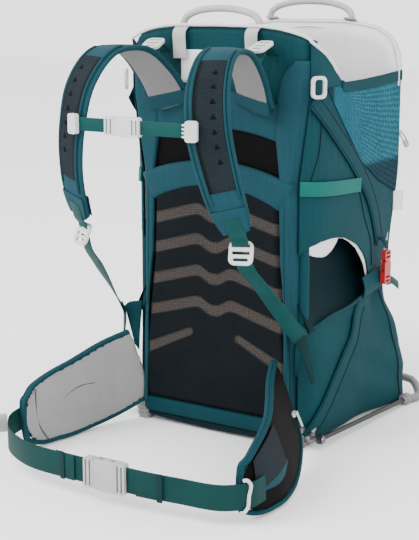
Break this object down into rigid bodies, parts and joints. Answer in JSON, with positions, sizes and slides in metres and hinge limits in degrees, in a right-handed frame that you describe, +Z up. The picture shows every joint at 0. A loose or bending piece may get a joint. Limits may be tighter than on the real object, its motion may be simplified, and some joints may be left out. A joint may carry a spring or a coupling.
{
  "type": "child carrier backpack",
  "caption": "Framed backpack for carrying a child, with an open cockpit, leg openings, a fold-out ground stand, shoulder harness, chest strap and padded hip belt.",
  "frame": {"origin": "on the ground, on the pack's middle plane, halfway between the hip belt's front and the stand's rear tube", "axes": "+Z up, -Y towards the harness and the wearer, +X towards the wearer's right-hand strap seen from the harness side's right"},
  "size_m": [0.4769, 0.7271, 0.7],
  "materials": {
    "tube": "satin anodised",
    "stand": "satin",
    "rear_stand": "satin",
    "steel_pin": "brushed",
    "sheet": "matt",
    "grey_plastic": "matt moulded",
    "white_plastic": "satin moulded",
    "buckle_plastic": "satin moulded",
    "red_plastic": "satin moulded",
    "foam": "moulded foam",
    "mesh": "knitted mesh",
    "teal_cloth": "woven ripstop",
    "strap_cloth": "padded woven",
    "webbing": "woven webbing",
    "grey_lining": "brushed tricot",
    "hip_lining": "padded tricot",
    "handle": "padded woven"
  },
  "bodies": {
    "pack": {"frame_left_tube": "tube", "frame_right_tube": "tube", "frame_top_tube": "tube", "frame_bottom_tube": "tube", "frame_sheet": "sheet", "back_foam": "foam", "back_mesh": "mesh", "front_cover": "teal_cloth", "drool_pad": "grey_lining", "front_foot_left": "grey_plastic", "front_foot_right": "grey_plastic", "fold_pins": "steel_pin", "side_panel_left": "teal_cloth", "side_panel_right": "teal_cloth", "storage_bag": "teal_cloth", "side_hooks": "white_plastic", "hip_pad_left": "hip_lining", "hip_pad_right": "hip_lining", "hip_webbing_right": "webbing", "hip_buckle_socket": "buckle_plastic"},
    "hip_plug": {"hip_buckle_plug": "buckle_plastic", "hip_webbing_left": "webbing"},
    "hip_upper_prong": {"hip_prong_upper": "buckle_plastic"},
    "hip_lower_prong": {"hip_prong_lower": "buckle_plastic"},
    "zip_slider": {"pocket_zip_slider": "white_plastic"},
    "zip_pull": {"pocket_zip_pull": "white_plastic"},
    "front_grab_handle": {"front_handle": "handle"},
    "yoke": {"yoke_plate": "teal_cloth", "shoulder_strap_left": "strap_cloth", "shoulder_strap_right": "strap_cloth", "shoulder_webbing_left": "webbing", "shoulder_webbing_right": "webbing", "load_lifter_webbing": "webbing"},
    "left_ladder_lock": {"ladder_lock_left": "white_plastic"},
    "right_ladder_lock": {"ladder_lock_right": "white_plastic"},
    "left_load_lifter": {"load_lifter_left": "white_plastic"},
    "right_load_lifter": {"load_lifter_right": "white_plastic"},
    "sternum_strap": {"sternum_clips": "white_plastic", "sternum_webbing_right": "webbing", "sternum_buckle_socket": "white_plastic"},
    "sternum_plug": {"sternum_buckle_plug": "white_plastic", "sternum_webbing_left": "webbing"},
    "sternum_upper_prong": {"sternum_prong_upper": "white_plastic"},
    "sternum_lower_prong": {"sternum_prong_lower": "white_plastic"},
    "rear_frame": {"rear_left_tube": "tube", "rear_right_tube": "tube", "rear_top_tube": "tube", "rear_panel": "teal_cloth", "rear_lining": "grey_lining", "child_harness": "hip_lining", "child_buckle": "grey_plastic", "red_buckle_left": "red_plastic", "red_buckle_right": "red_plastic"},
    "rear_grab_handle": {"rear_handle": "handle"},
    "left_red_plug": {"red_plug_left": "red_plastic"},
    "right_red_plug": {"red_plug_right": "red_plastic"},
    "ground_stand": {"stand_rods": "stand", "stand_hubs": "grey_plastic", "stand_rear_tube": "rear_stand"},
    "seat": {"child_seat": "hip_lining"}
  },
  "joints": [
    {"name": "frame_fold", "type": "hinge", "parent": "pack", "child": "rear_frame", "pos_m": [0, 0.0105, 0.017], "axis": [1, 0, 0], "range_deg": [0, 22], "deforming": ["side_panel_left", "side_panel_right", "storage_bag", "child_harness", "child_buckle"]},
    {"name": "stand_fold", "type": "hinge", "parent": "pack", "child": "ground_stand", "pos_m": [0, 0.0105, 0.017], "axis": [1, 0, 0], "range_deg": [0, 51]},
    {"name": "seat_fold", "type": "hinge", "parent": "pack", "child": "seat", "pos_m": [0, 0.0215, 0.213], "axis": [1, 0, 0], "range_deg": [0, 47.5]},
    {"name": "rear_handle_swing", "type": "hinge", "parent": "rear_frame", "child": "rear_grab_handle", "pos_m": [0, 0.2985, 0.67], "axis": [1, 0, 0], "range_deg": [-30, 30], "stiffness_Nm_per_rad": 0.1},
    {"name": "front_handle_swing", "type": "hinge", "parent": "pack", "child": "front_grab_handle", "pos_m": [0, 0.0045, 0.666], "axis": [1, 0, 0], "range_deg": [-30, 30], "stiffness_Nm_per_rad": 0.1},
    {"name": "yoke_height", "type": "slide", "parent": "pack", "child": "yoke", "axis": [0, 0, 1], "range_m": [-0.05, 0.02], "deforming": ["shoulder_webbing_left", "shoulder_webbing_right", "load_lifter_webbing"]},
    {"name": "right_ladder_lock_tilt", "type": "hinge", "parent": "yoke", "child": "right_ladder_lock", "pos_m": [0.143, -0.1685, 0.358], "axis": [0.9272, 0.3746, 0], "range_deg": [-12, 20]},
    {"name": "right_load_lifter_tilt", "type": "hinge", "parent": "yoke", "child": "right_load_lifter", "pos_m": [0.099, -0.0355, 0.637], "axis": [1, 0, 0], "range_deg": [-20, 20]},
    {"name": "right_red_plug_slide", "type": "slide", "parent": "rear_frame", "child": "right_red_plug", "axis": [0, 0, 1], "range_m": [0, 0.02]},
    {"name": "left_ladder_lock_tilt", "type": "hinge", "parent": "yoke", "child": "left_ladder_lock", "pos_m": [-0.143, -0.1685, 0.358], "axis": [0.9272, -0.3746, 0], "range_deg": [-12, 20]},
    {"name": "left_load_lifter_tilt", "type": "hinge", "parent": "yoke", "child": "left_load_lifter", "pos_m": [-0.099, -0.0355, 0.637], "axis": [1, 0, 0], "range_deg": [-20, 20]},
    {"name": "left_red_plug_slide", "type": "slide", "parent": "rear_frame", "child": "left_red_plug", "axis": [0, 0, 1], "range_m": [0, 0.02]},
    {"name": "sternum_height", "type": "slide", "parent": "yoke", "child": "sternum_strap", "axis": [0, 0, 1], "range_m": [-0.02, 0.02]},
    {"name": "sternum_plug_slide", "type": "slide", "parent": "sternum_strap", "child": "sternum_plug", "axis": [-1, 0, 0], "range_m": [0, 0.025], "deforming": ["sternum_webbing_left"]},
    {"name": "sternum_upper_squeeze", "type": "slide", "parent": "sternum_plug", "child": "sternum_upper_prong", "axis": [0, 0, -1], "range_m": [0, 0.0015], "stiffness_N_per_m": 600},
    {"name": "sternum_lower_squeeze", "type": "slide", "parent": "sternum_plug", "child": "sternum_lower_prong", "axis": [0, 0, 1], "range_m": [0, 0.0015], "stiffness_N_per_m": 600},
    {"name": "hip_plug_slide", "type": "slide", "parent": "pack", "child": "hip_plug", "axis": [-1, 0, 0], "range_m": [0, 0.04], "deforming": ["hip_webbing_left"]},
    {"name": "hip_upper_squeeze", "type": "slide", "parent": "hip_plug", "child": "hip_upper_prong", "axis": [0, 0, -1], "range_m": [0, 0.003], "stiffness_N_per_m": 900},
    {"name": "hip_lower_squeeze", "type": "slide", "parent": "hip_plug", "child": "hip_lower_prong", "axis": [0, 0, 1], "range_m": [0, 0.003], "stiffness_N_per_m": 900},
    {"name": "pocket_zip_run", "type": "slide", "parent": "pack", "child": "zip_slider", "axis": [-0.4226, 0.9063, 0], "range_m": [-0.01, 0.01]},
    {"name": "zip_pull_swing", "type": "hinge", "parent": "zip_slider", "child": "zip_pull", "pos_m": [0.1807, -0.0652, 0.0834], "axis": [-0.4226, 0.9063, 0], "range_deg": [-70, 0]}
  ],
  "couplings": [
    {"joint": "stand_fold", "follows": "frame_fold", "ratio": 2.25},
    {"joint": "seat_fold", "follows": "frame_fold", "ratio": 2.08},
    {"joint": "sternum_lower_squeeze", "follows": "sternum_upper_squeeze", "ratio": 1},
    {"joint": "hip_lower_squeeze", "follows": "hip_upper_squeeze", "ratio": 1}
  ]
}
